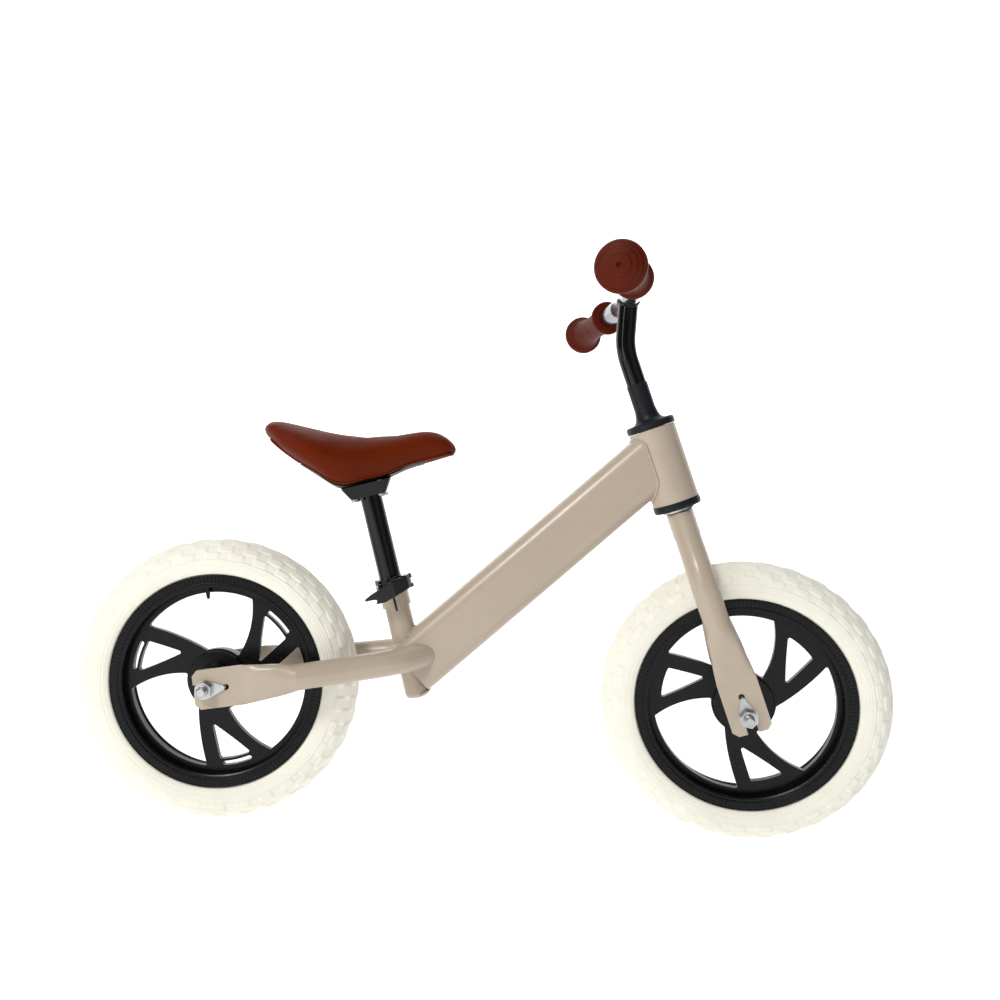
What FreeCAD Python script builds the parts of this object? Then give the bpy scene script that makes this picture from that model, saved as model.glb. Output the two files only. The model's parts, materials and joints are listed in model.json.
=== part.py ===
import FreeCAD, Part
import math
import os
import Sketcher

# A child's balance bike: no pedals and no brake, two foam-tyred wheels on moulded rims, a steel frame
# of one slanting main tube with two stays, a unicrown fork, a bent stem with a swept crossbar, and a
# padded saddle on a post held by a quick-release clamp.
# Row frame: +X forward, +Y the rider's left, +Z up, origin on the ground midway between the axles.

V = FreeCAD.Vector
X, Y, Z = V(1, 0, 0), V(0, 1, 0), V(0, 0, 1)

doc = FreeCAD.newDocument("balance_bike")
sheet = doc.addObject("Spreadsheet::Sheet", "Sheet")

DRIVING = {
    # wheels
    "wheelbase": 534, "tyre_radius": 142.5, "tyre_half_width": 24, "rim_radius": 107.5,
    "rim_half_width": 21.5, "channel_radius": 100, "channel_half_width": 18, "barrel_radius": 95.2,
    "lip_radius": 94.8, "web_face": 10, "web_thickness": 7, "window_radius": 89, "hub_disc_radius": 29,
    "hub_radius": 17, "hub_half_length": 27, "bearing_radius": 13, "bearing_width": 8,
    "spoke_pairs": 3, "front_spoke_angle": 29, "rear_spoke_angle": 45,
    # axles and what is on them
    "axle_radius": 5, "axle_half_length": 68, "thread_radius": 4.6, "thread_length": 6,
    "running_gap": 0.05, "spacer_radius": 8, "plate_mid": 57, "plate_thickness": 4,
    "washer_thickness": 2, "nut_width": 15, "nut_height": 7, "hook_hole": 20.6, "hook_hole_radius": 3,
    "slot_radius": 5.2,
    # tubes
    "tube_radius": 12.7, "tube_wall": 1.6, "main_depth": 57.5, "main_width": 38,
    "main_corner": 14, "main_tilt": 42.9, "main_offset": 167.4,
    "seat_tilt": 15.7, "seat_top_x": -96.8, "seat_top_z": 252.9, "seat_tube_length": 121,
    "sleeve_radius": 14.6, "sleeve_length": 18, "band_height": 12, "band_radius": 16.6,
    "post_radius": 11.1, "post_wall": 1.5, "post_inserted": 75, "post_length": 171,
    "saddle_seat": 98,
    "stay_tilt": 9.4, "stay_length": 221.5,
    # steering
    "steer_tilt": 21, "fork_turn": -11.5, "bar_turn": -2.7,
    "head_radius": 23.5, "head_bore": 21, "head_low": 214, "head_length": 77,
    "steerer_radius": 12.7, "crown_radius": 13.6, "crown_low": 176, "crown_high": 204,
    "steerer_top": 297, "cap_radius": 24.5, "cap_height": 7.5, "cap_neck_top": 339, "neck_radius": 10.5,
    "stem_radius": 9.8, "stem_low": 232, "stem_bend": 377,
    "bar_radius": 11, "bar_wall": 1.6, "bar_height": 425, "bar_ahead": 20.4, "bar_bend": 68.4,
    "bar_sweep": 14.9, "grip_start": 106, "grip_end": 200,
}
for row, (alias, value) in enumerate(DRIVING.items(), start=1):
    sheet.set(f"A{row}", alias)
    sheet.set(f"B{row}", str(value))
    sheet.setAlias(f"B{row}", alias)
doc.recompute()

nodes = {}


def size(alias):
    """A driving dimension, as the sheet holds it."""
    return float(sheet.get(alias))


def bind(obj, **rules):
    """Binds properties of an object to cells: bind(tube, Radius="tube_radius - tube_wall")."""
    for prop, rule in rules.items():
        words = rule.split()
        text = " ".join("Sheet." + word if word in DRIVING else word for word in words)
        obj.setExpression(prop, text)
    return obj


def node(obj, name, placement=None):
    """Names a finished sub-part and puts it in its place."""
    obj.Label = name
    if placement is not None:
        obj.Placement = placement
    nodes[name] = obj
    return obj


def turned(axis, degrees, at=V(0, 0, 0)):
    return FreeCAD.Placement(at, FreeCAD.Rotation(axis, degrees))


def cylinder(name, radius, height, placement=None):
    """A cylinder along its own Z, its sizes given as rules on the sheet's cells."""
    made = doc.addObject("Part::Cylinder", name)
    bind(made, Radius=radius, Height=height)
    if placement is not None:
        made.Placement = placement
    return made


def cut(name, base, *tools):
    """Base less every tool."""
    result = base
    for number, tool in enumerate(tools):
        step = doc.addObject("Part::Cut", f"{name}_{number}")
        step.Base, step.Tool = result, tool
        result = step
    return result


def fuse(name, *pieces):
    made = doc.addObject("Part::MultiFuse", name)
    made.Shapes = list(pieces)
    made.Refine = True
    return made


def group(name, *pieces):
    """Several separate solids that share one node."""
    made = doc.addObject("Part::Compound", name)
    made.Links = list(pieces)
    return made


def feature(name, shape):
    made = doc.addObject("Part::Feature", name)
    made.Shape = shape
    return made


def pipe_along_z(name, outer, inner, low, height):
    """A tube along Z from low; all four are rules on the sheet's cells."""
    body = cylinder(name + "_outside", outer, height)
    bore = cylinder(name + "_bore", inner, height)
    for piece in (body, bore):
        bind_height(piece, low)
    return cut(name, body, bore)


def bind_height(piece, low):
    return bind(piece, **{"Placement.Base.z": low})


# ---------------------------------------------------------------- places

STEER = turned(Y, -size("steer_tilt"), V(size("wheelbase") / 2, 0, size("tyre_radius")))
FORK = STEER * turned(Z, size("fork_turn"))
BAR = STEER * turned(Z, size("bar_turn"))
SEAT = turned(Y, -size("seat_tilt"), V(size("seat_top_x"), 0, size("seat_top_z")))
REAR = FreeCAD.Placement(V(-size("wheelbase") / 2, 0, size("tyre_radius")), FreeCAD.Rotation())
STAY = REAR * turned(Y, -size("stay_tilt"))


def main_line_point(base, direction):
    """Where a line in the bike's middle plane meets the main tube's centre line."""
    tilt = math.radians(size("main_tilt"))
    normal = V(-math.sin(tilt), 0, math.cos(tilt))
    travel = (size("main_offset") - normal.dot(base)) / normal.dot(direction)
    return base + direction * travel


MAIN_LOW = main_line_point(SEAT.Base, SEAT.Rotation.multVec(Z))
MAIN_HIGH = main_line_point(STEER.Base, STEER.Rotation.multVec(Z))
MAIN = turned(Y, -size("main_tilt"), MAIN_LOW)
MAIN_LENGTH = (MAIN_HIGH - MAIN_LOW).Length


# ---------------------------------------------------------------- sketches and bodies

def new_body(name):
    return doc.addObject("PartDesign::Body", name)


def origin_plane(body, role):
    return next(item for item in body.Origin.OriginFeatures if item.Role == role)


def sketch_on(body, name, role="XY_Plane"):
    sketch = body.newObject("Sketcher::SketchObject", name)
    sketch.AttachmentSupport = [(origin_plane(body, role), "")]
    sketch.MapMode = "FlatFace"
    return sketch


def join_ends(sketch, count):
    """Ties each edge's end to the next one's start, round the whole outline."""
    for number in range(count):
        follower = (number + 1) % count
        sketch.addConstraint(Sketcher.Constraint("Coincident", number, 2, follower, 1))


def closed_lines(sketch, points):
    for start, end in zip(points, points[1:] + points[:1]):
        sketch.addGeometry(Part.LineSegment(start, end), False)
    join_ends(sketch, len(points))


def polar(radius, degrees):
    angle = math.radians(degrees)
    return V(radius * math.cos(angle), radius * math.sin(angle), 0)


def revolved(name, points):
    """A body turned round its own Y from a closed outline of (radius, along) points."""
    body = new_body(name)
    sketch = sketch_on(body, name + "_outline")
    closed_lines(sketch, [V(a, b, 0) for a, b in points])
    turn = body.newObject("PartDesign::Revolution", name + "_turn")
    turn.Profile = sketch
    turn.ReferenceAxis = (sketch, ["V_Axis"])
    turn.Angle = 360
    body.Tip = turn
    return body


# ---------------------------------------------------------------- wheels

def rim_side(web):
    """One side of the rim's section from the hub out, with the web's face at web."""
    bore, shoulder = size("bearing_radius") - 3, size("web_face") + 3
    return [
        (bore, size("hub_half_length") - size("bearing_width")),
        (size("bearing_radius"), size("hub_half_length") - size("bearing_width")),
        (size("bearing_radius"), size("hub_half_length")),
        (size("hub_radius"), size("hub_half_length")),
        (size("hub_radius") + 1.5, shoulder + 1),
        (size("hub_disc_radius"), shoulder),
        (size("hub_disc_radius") + 1, web),
        (size("barrel_radius"), web),
        (size("barrel_radius") + 0.8, size("rim_half_width") - 5),
        (size("lip_radius"), size("rim_half_width") - 3),
        (size("lip_radius"), size("rim_half_width") - 1.4),
        (size("lip_radius") + 1.2, size("rim_half_width") - 0.6),
        (size("lip_radius") + 3.2, size("rim_half_width") - 0.6),
        (size("lip_radius") + 3.8, size("rim_half_width")),
        (size("rim_radius") - 1, size("rim_half_width")),
        (size("rim_radius"), size("rim_half_width") - 1),
        (size("rim_radius"), size("channel_half_width") + 1),
        (size("channel_radius"), size("channel_half_width")),
    ]


def rim_outline():
    """The whole section: the web stands nearer the rider's right, and the back of it is open."""
    left = rim_side(size("web_thickness") - size("web_face"))
    right = [(radius, -along) for radius, along in rim_side(size("web_face"))]
    return left + right[::-1]


def window_edges():
    """The two openings beside and inside one spoke pair, each as (start, middle, end) arcs.

    Angles are counted from the middle of the pair.
    """
    outer, hub = size("window_radius"), size("hub_disc_radius") + 2.5
    leaf_rim, leaf_tip = 81, 44.5
    large = [
        (polar(outer, -20), polar(outer, -58), polar(outer, -96)),
        (polar(outer, -96), polar(59, -106), polar(hub, -114)),
        (polar(hub, -114), polar(hub, -83), polar(hub, -52)),
        (polar(hub, -52), polar(59, -30.5), polar(outer, -20)),
    ]
    leaf = [
        (polar(leaf_tip, -21), polar(62, 2), polar(leaf_rim, 11.5)),
        (polar(leaf_rim, 11.5), polar(leaf_rim, 0), polar(leaf_rim, -11.5)),
        (polar(leaf_rim, -11.5), polar(63, -15), polar(leaf_tip, -21)),
    ]
    return [large, leaf]


def slit_edges():
    """The narrow slit between a leaf's bridge and the barrel."""
    low, high = size("window_radius") - 5.4, size("window_radius") - 1.2
    middle = (low + high) / 2
    return [
        (polar(low, -9.5), polar(low, 0), polar(low, 10)),
        (polar(low, 10), polar(middle, 10.6), polar(high, 11)),
        (polar(high, 11), polar(high, 0), polar(high, -9)),
        (polar(high, -9), polar(middle, -9.3), polar(low, -9.5)),
    ]


WINDOW_CORNER = 1.9


def rim(name, middle, placement, openings):
    """The moulded rim: hub, web and tyre channel in one piece, with the openings cut through the web."""
    body = revolved(name, rim_outline())
    cutter = sketch_on(body, name + "_windows", "XZ_Plane")
    for outline in openings:
        first = cutter.GeometryCount
        for start, through, end in outline:
            points = [turned(Z, middle).multVec(point) for point in (start, through, end)]
            cutter.addGeometry(Part.Arc(*points), False)
        count = len(outline)
        for number in range(count):
            one, follower = first + number, first + (number + 1) % count
            end, start = sketch_ends(cutter, one, follower)
            cutter.addConstraint(Sketcher.Constraint("Coincident", one, end, follower, start))
    pocket = body.newObject("PartDesign::Pocket", name + "_window")
    pocket.Profile = cutter
    pocket.Type = "ThroughAll"
    pocket.Midplane = True
    round_turn = body.newObject("PartDesign::PolarPattern", name + "_round")
    round_turn.Originals = [pocket]
    round_turn.Axis = (cutter, ["N_Axis"])
    round_turn.Angle = 360
    bind(round_turn, Occurrences="spoke_pairs")
    body.Tip = round_turn
    doc.recompute()
    soften = body.newObject("PartDesign::Fillet", name + "_corners")
    soften.Base = (round_turn, window_corners(round_turn.Shape))
    soften.Radius = WINDOW_CORNER
    body.Tip = soften
    node(body, name, placement)


def sketch_ends(sketch, one, other):
    """Which ends of two edges meet, as Sketcher numbers them (1 start, 2 end)."""
    def gap(pair):
        return (sketch.getPoint(one, pair[0]) - sketch.getPoint(other, pair[1])).Length

    return min([(1, 1), (1, 2), (2, 1), (2, 2)], key=gap)


def window_corners(shape):
    """The edges across the web, where a window's walls meet."""
    names = []
    for number, edge in enumerate(shape.Edges, start=1):
        start, end = edge.Vertexes[0].Point, edge.Vertexes[-1].Point
        if abs(abs(end.y - start.y) - size("web_thickness")) > 1e-4:
            continue
        if edge.Curve.TypeId == "Part::GeomLine" and abs(edge.Length - size("web_thickness")) < 1e-4:
            names.append(f"Edge{number}")
    return names


def tyre_outline():
    """The foam tyre's section: a flat seat in the rim's channel and a round tread."""
    half, top = size("tyre_half_width"), size("tyre_radius")
    seat_half, seat, edge = size("channel_half_width"), size("channel_radius"), size("rim_radius")
    side = [(seat, seat_half), (edge, seat_half + 1), (edge + 1, size("rim_half_width")),
            (edge + 6, half - 0.7), (edge + 13, half), (edge + 20, half - 1.4), (edge + 26, half - 5.5),
            (edge + 30.5, half - 11), (edge + 33.6, half - 17), (top, half - 24)]
    return side + [(radius, -along) for radius, along in reversed(side[:-1])]


def wheel(end, place, openings):
    rim(end + "_rim", size(end + "_spoke_angle"), place, openings)
    node(revolved(end + "_tyre_body", tyre_outline()), end + "_tyre", place)
    inner, outer = size("axle_radius") + size("running_gap"), size("bearing_radius")
    width, face = size("bearing_width"), size("hub_half_length")
    rings = []
    sections = [("race", inner, inner + 2.4, 0), ("shield", inner + 2.4, outer - 2.2, 0.7),
                ("shell", outer - 2.2, outer, 0)]
    for side in (1, -1):
        for ring, low, high, sink in sections:
            far, near = side * (face - width + sink), side * (face - sink)
            outline = [(low, far), (high, far), (high, near), (low, near)]
            rings.append(revolved(f"{end}_{ring}_{side}", outline))
    node(group(end + "_bearings", *rings), end + "_hub_bearings", place)
    reach, skin = face - width, inner + 1.6
    sleeve = [(inner, -reach), (skin, -reach), (skin, reach), (inner, reach)]
    node(revolved(end + "_sleeve", sleeve), end + "_bearing_spacer", place)


# ---------------------------------------------------------------- axles and their fittings

def along_y(name, radius, start, length):
    """A round bar along +Y from start."""
    return cylinder(name, radius, length, FreeCAD.Placement(V(0, start, 0), FreeCAD.Rotation(X, -90)))


def hexagon(across_flats):
    corner = across_flats / math.sqrt(3)
    return [polar(corner, 60 * step + 30) for step in range(6)]


def hex_nut(name, side):
    """A hexagon nut on the axle, outside the dropout, with its corners rounded off."""
    inside = side * (size("plate_mid") + size("plate_thickness") / 2 + size("washer_thickness"))
    outline = hexagon(size("nut_width"))
    prism = Part.Face(Part.makePolygon(outline + outline[:1])).extrude(V(0, 0, size("nut_height")))
    corner = size("nut_width") / math.sqrt(3)
    cone = Part.makeCone(corner + size("nut_height") - 0.6, corner - 0.9, size("nut_height") + 0.3)
    bore = Part.makeCylinder(size("axle_radius"), size("nut_height"))
    nut = feature(name, prism.common(cone).cut(bore))
    nut.Placement = FreeCAD.Placement(V(0, inside, 0), FreeCAD.Rotation(X, -90 * side))
    return nut


def hooked_washer(name, side, towards):
    """A drop-shaped safety washer whose bent tip sits in the dropout's small hole."""
    radius, reach, tip = 9.2, size("hook_hole") - 3, 2.2
    hook_radius = 1.0
    start = side * (size("plate_mid") + size("plate_thickness") / 2)
    thick = size("washer_thickness")
    spread = math.degrees(math.acos((radius - tip) / reach))
    points = [polar(radius, spread), polar(radius, 180), polar(radius, -spread)]
    nose = [V(reach, 0, 0) + polar(tip, angle) for angle in (-spread, 0, spread)]
    edges = [Part.Arc(*points).toShape(), Part.LineSegment(points[2], nose[0]).toShape(),
             Part.Arc(*nose).toShape(), Part.LineSegment(nose[2], points[0]).toShape()]
    plate = Part.Face(Part.Wire(edges)).extrude(V(0, 0, thick))
    hook_at = size("hook_hole") - size("hook_hole_radius") + hook_radius + 0.15
    hook = Part.makeCylinder(hook_radius, size("plate_thickness") + thick,
                             V(hook_at, 0, -size("plate_thickness")))
    shape = plate.fuse(hook).cut(Part.makeCylinder(size("axle_radius"), thick))
    washer = feature(name, shape)
    to_side = FreeCAD.Rotation(X, -90 * side)
    washer.Placement = turned(Y, -towards) * FreeCAD.Placement(V(0, start, 0), to_side)
    return washer


def axle_set(end, place, hook_direction):
    """The axle with its spacers, hooked washers and nuts; hook_direction is the tips' angle above +X."""
    half, stub = size("axle_half_length"), size("thread_length")
    pieces = [along_y(end + "_axle_rod", "axle_radius", -half, "2 * axle_half_length")]
    for side in (1, -1):
        start = half if side > 0 else -half - stub
        pieces.append(along_y(f"{end}_axle_stub_{side}", "thread_radius", start, "thread_length"))
        cone = doc.addObject("Part::Cone", f"{end}_axle_end_{side}")
        bind(cone, Radius1="thread_radius", Radius2="thread_radius - 1")
        cone.Height = 1.2
        cone.Placement = FreeCAD.Placement(V(0, side * (half + stub), 0), FreeCAD.Rotation(X, -90 * side))
        pieces.append(cone)
    node(fuse(end + "_axle_bar", *pieces), end + "_axle", place)
    inside, gap = size("hub_half_length") + 0.3, size("plate_mid") - size("plate_thickness") / 2
    spacers, nuts, washers = [], [], []
    for side in (1, -1):
        low, high = side * inside, side * gap
        sleeve = [(size("axle_radius"), low), (7, low), (size("spacer_radius"), low + side * 5),
                  (size("spacer_radius"), high), (size("axle_radius"), high)]
        spacers.append(revolved(f"{end}_axle_spacer_{side}", sleeve))
        nuts.append(hex_nut(f"{end}_nut_{side}", side))
        washers.append(hooked_washer(f"{end}_washer_{side}", side, hook_direction))
    node(group(end + "_spacers", *spacers), end + "_axle_spacers", place)
    node(group(end + "_nuts", *nuts), end + "_axle_nuts", place)
    node(group(end + "_washers", *washers), end + "_safety_washers", place)


# ---------------------------------------------------------------- blades: fork legs and rear stays

def section_ring(at, direction, width, thickness):
    """A rounded-slot outline across a blade at a point; equal width and thickness make it round."""
    across = Z
    side = across.cross(direction).normalize()
    if abs(width - thickness) < 0.01:
        return Part.Wire(Part.Circle(at, direction, width / 2).toShape())
    flat, bulge = (width - thickness) / 2, thickness / 2
    a, b = at + across * flat + side * bulge, at + across * flat - side * bulge
    c, d = at - across * flat - side * bulge, at - across * flat + side * bulge
    tip, foot = at + across * (flat + bulge), at - across * (flat + bulge)
    return Part.Wire([Part.Arc(a, tip, b).toShape(), Part.LineSegment(b, c).toShape(),
                      Part.Arc(c, foot, d).toShape(), Part.LineSegment(d, a).toShape()])


def blade_path(points, bend):
    """Straight runs through the points, joined by tangent arcs of one radius."""
    edges, last = [], points[0]
    for before, corner, after in zip(points, points[1:], points[2:]):
        into, out = (corner - before).normalize(), (after - corner).normalize()
        angle = into.getAngle(out)
        back = bend * math.tan(angle / 2)
        start, end = corner - into * back, corner + out * back
        bisector = (out - into).normalize()
        middle = corner + bisector * (bend / math.cos(angle / 2) - bend)
        edges += [Part.LineSegment(last, start).toShape(), Part.Arc(start, middle, end).toShape()]
        last = end
    return edges + [Part.LineSegment(last, points[-1]).toShape()]


def blade(points, bend, plate_start, crease, plate_width):
    """A tube flattened to a slotted plate at one end.

    Local frame: X runs along the blade from the axle's centre, Y is the bike's side, Z across the plate.
    """
    radius, wall = size("tube_radius"), size("tube_wall")
    thick, mid = size("plate_thickness"), size("plate_mid")
    along = (points[1] - points[0]).normalize()
    flare = [section_ring(V(crease, mid, 0), X, plate_width, thick),
             section_ring(V(crease + 22, mid - 1.2, 0), X, plate_width - 4.5, thick + 10),
             section_ring(points[0], along, 2 * radius, 2 * radius)]
    shape = Part.makeLoft(flare, True)
    spine = Part.Wire(blade_path(points, bend))
    outside = Part.Wire(Part.Circle(points[0], along, radius).toShape())
    inside = Part.Wire(Part.Circle(points[0], along, radius - wall).toShape())
    solid = spine.makePipeShell([outside], True, True)
    hollow = spine.makePipeShell([inside], True, True)
    narrow = [section_ring(V(crease + 8, mid - 0.4, 0), X, plate_width - 7, thick - 2 * wall + 1.2),
              section_ring(V(crease + 24, mid - 1.3, 0), X, plate_width - 9, thick + 5.5),
              section_ring(points[0], along, 2 * (radius - wall), 2 * (radius - wall))]
    shape = shape.fuse(solid).cut(Part.makeLoft(narrow, True)).cut(hollow)
    half, corner = plate_width / 2, 5
    plate = Part.makePolygon([
        V(crease, mid - thick / 2, -half), V(plate_start + corner, mid - thick / 2, -half),
        V(plate_start, mid - thick / 2, -half + corner), V(plate_start, mid - thick / 2, half - corner),
        V(plate_start + corner, mid - thick / 2, half), V(crease, mid - thick / 2, half),
        V(crease, mid - thick / 2, -half)])
    plate = Part.Face(plate).extrude(V(0, thick, 0))
    return shape.fuse(plate)


def slotted(shape):
    """Cuts the axle's open slot and the safety washer's hook hole through the plate."""
    mid, reach, slot_radius = size("plate_mid"), 12, size("slot_radius")
    low = mid - reach / 2
    mouth = Part.makeBox(60, reach, 2 * slot_radius, V(-60, low, -slot_radius))
    seat = Part.makeCylinder(slot_radius, reach, V(0, low, 0), Y)
    hole = Part.makeCylinder(size("hook_hole_radius"), reach, V(size("hook_hole"), low, 0), Y)
    return shape.cut(mouth).cut(seat).cut(hole)


def mirrored(shape):
    return shape.mirror(V(0, 0, 0), Y)


def rounded_box_profile(depth, width, corner):
    """The main tube's section in the YZ plane, depth along Z."""
    high, wide = depth / 2, width / 2
    edges = []
    for sy, sz, begin in ((1, 1, 0), (-1, 1, 90), (-1, -1, 180), (1, -1, 270)):
        centre = V(0, sy * (wide - corner), sz * (high - corner))
        arc = [centre + V(0, corner * math.cos(math.radians(a)), corner * math.sin(math.radians(a)))
               for a in (begin, begin + 45, begin + 90)]
        edges.append(arc)
    outline = []
    for arc, following in zip(edges, edges[1:] + edges[:1]):
        outline.append(Part.Arc(*arc).toShape())
        outline.append(Part.LineSegment(arc[2], following[0]).toShape())
    return Part.Face(Part.Wire(outline))


def row_cylinder(place, radius, low, high):
    """A solid cylinder along a place's own Z, in the row frame."""
    shape = Part.makeCylinder(radius, high - low, V(0, 0, low))
    shape.Placement = place
    return shape


HEAD_BLANK = row_cylinder(STEER, size("head_radius"), size("head_low") - 20, size("head_low") + 120)
SEAT_BLANK = row_cylinder(SEAT, size("tube_radius"), -size("seat_tube_length") - 30, 40)


def main_tube_shape(inset, start, end):
    section = rounded_box_profile(size("main_depth") - 2 * inset, size("main_width") - 2 * inset,
                                  size("main_corner") - inset)
    section.translate(V(start, 0, 0))
    shape = section.extrude(V(end - start, 0, 0))
    shape.Placement = MAIN
    return shape


# ---------------------------------------------------------------- frame

def main_tube():
    """The slanting main tube, its ends shaped to lie against the head tube and the seat tube."""
    outside = main_tube_shape(0, 0, MAIN_LENGTH)
    inside = main_tube_shape(size("tube_wall"), -10, MAIN_LENGTH + 10)
    tube = outside.cut(inside).cut(HEAD_BLANK).cut(SEAT_BLANK)
    return max(tube.Solids, key=lambda solid: solid.Volume)


def rear_stay():
    """The left stay, cut back where it meets the main tube and the seat tube."""
    mid = size("plate_mid")
    points = [V(88, mid - 4, 0), V(186, mid - 22, 0), V(size("stay_length"), mid - 54, 0)]
    shape = slotted(blade(points, 60, -11, 38, 38))
    shape.Placement = STAY
    for blank in (main_tube_shape(0, -60, MAIN_LENGTH), SEAT_BLANK):
        shape = shape.cut(blank)
    return max(shape.Solids, key=lambda solid: solid.Volume)


def slot_box(name, start, low, length, height):
    """A box that cuts the seat tube's right wall from start along X and low along Z."""
    box = doc.addObject("Part::Box", name)
    box.Length, box.Width, box.Height = length, 20, height
    box.Placement = FreeCAD.Placement(V(start, -20, low), FreeCAD.Rotation())
    return box


def frame_parts():
    node(feature("main_tube_shell", main_tube()), "main_tube")
    node(pipe_along_z("head_tube_shell", "head_radius", "head_bore", "head_low", "head_length"),
         "head_tube", STEER)
    seat_low = "-1 * seat_tube_length"
    shell = pipe_along_z("seat_tube_shell", "tube_radius", "post_radius + running_gap", seat_low,
                         "seat_tube_length")
    node(cut("seat_tube_split", shell, slot_box("seat_tube_slot", -1.2, -34, 2.4, 34)), "seat_tube", SEAT)
    sleeve_low = -size("band_height") - size("sleeve_length")
    sleeve = pipe_along_z("sleeve", "sleeve_radius", "tube_radius", "-1 * band_height - sleeve_length",
                          "sleeve_length")
    notch = slot_box("sleeve_notch", -1, sleeve_low, 6.5, 7)
    gap = slot_box("sleeve_gap", -1.2, sleeve_low + 4, 2.4, 30)
    node(cut("sleeve_cut", sleeve, notch, gap), "seat_tube_sleeve", SEAT)
    low = -size("seat_tube_length")
    plug = revolved("end_cap", [(0, low + 8), (size("post_radius"), low + 8), (size("post_radius"), low),
                                (size("tube_radius"), low), (size("tube_radius") - 1, low - 2.5),
                                (size("tube_radius") - 5, low - 4.5), (0, low - 5)])
    node(plug, "seat_tube_end_cap", SEAT * turned(X, 90))
    left = rear_stay()
    node(feature("stay_left", left), "rear_stay_left")
    node(feature("stay_right", mirrored(left)), "rear_stay_right")
    headset_cups()


def headset_cups():
    """The pressed cups in the head tube's ends, each with its ring of balls."""
    low, high = size("head_low"), size("head_low") + size("head_length")
    bore, ball, ball_ring = size("head_bore"), 2.38, 16.6
    inner = bore - 1.8
    lower = [(16.5, low - 7.5), (23.4, low - 7.5), (24.1, low - 5), (size("head_radius") + 0.4, low),
             (bore, low), (bore, low + 10), (inner, low + 10), (inner, low + 1), (16.5, low - 3)]
    upper = [(16.9, high - 14), (bore, high - 14), (bore, high), (inner, high), (inner, high - 10),
             (16.9, high - 13)]
    for name, outline in (("headset_lower_cup", lower), ("headset_upper_cup", upper)):
        node(revolved(name + "_body", outline), name, STEER * turned(X, 90))
    for name, level in (("headset_lower_balls", low + 1.5), ("headset_upper_balls", high - 9.3)):
        centres = [polar(ball_ring, 22.5 * step) + V(0, 0, level) for step in range(16)]
        balls = Part.makeCompound([Part.makeSphere(ball, centre) for centre in centres])
        node(feature(name + "_ring", balls), name, STEER)


# ---------------------------------------------------------------- quick release

CLAMP_Y, CLAMP_Z = -21.5, -6.0       # the skewer's line beside the seat tube, in the seat tube's frame
PIVOT_X = 18.0                       # the lever's pivot ahead of the seat tube's centre
CAM_RADIUS = 5.3
LEVER_SLOPE = 15                     # how far the lever's arm drops towards its end, in degrees


def clamp_parts():
    """A split band with two ears, a skewer through them and a cam lever at its front end."""
    outer, inner, high = size("band_radius"), size("tube_radius"), size("band_height")
    band = Part.makeCylinder(outer, high, V(0, 0, -high))
    for side in (1, -1):
        ear = Part.makeBox(5.5, 14, high, V(1.5 if side > 0 else -7, -27, -high))
        band = band.fuse(ear)
    band = band.cut(Part.makeCylinder(inner, 3 * high, V(0, 0, -2 * high)))
    band = band.cut(Part.makeBox(3, 30, 3 * high, V(-1.5, -40, -2 * high)))
    skewer_hole = Part.makeCylinder(2.6, 40, V(-20, CLAMP_Y, CLAMP_Z), X)
    band = band.cut(skewer_hole).removeSplitter()
    node(feature("band", band), "seat_clamp_band", SEAT)
    rod = Part.makeCylinder(2.5, PIVOT_X + 13, V(-13, CLAMP_Y, CLAMP_Z), X)
    eye = Part.makeCylinder(4.0, 5, V(PIVOT_X, CLAMP_Y, CLAMP_Z - 2.5), Z)
    pin_hole = Part.makeCylinder(2.05, 5, V(PIVOT_X, CLAMP_Y, CLAMP_Z - 2.5), Z)
    node(feature("skewer", rod.fuse(eye).cut(pin_hole)), "clamp_skewer", SEAT)
    washer = Part.makeCylinder(5, PIVOT_X - CAM_RADIUS - 7.5, V(7.3, CLAMP_Y, CLAMP_Z), X)
    washer = washer.cut(Part.makeCylinder(2.5, 20, V(2, CLAMP_Y, CLAMP_Z), X))
    node(feature("cam_washer", washer), "cam_washer", SEAT)
    knob = Part.makeCylinder(6.5, 4.5, V(-11.5, CLAMP_Y, CLAMP_Z), X)
    knob = knob.makeChamfer(1, [edge for edge in knob.Edges if edge.Closed])
    knob = knob.cut(Part.makeCylinder(2.5, 40, V(-20, CLAMP_Y, CLAMP_Z), X))
    node(feature("knob", knob), "clamp_nut", SEAT)
    lever_parts()


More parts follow.
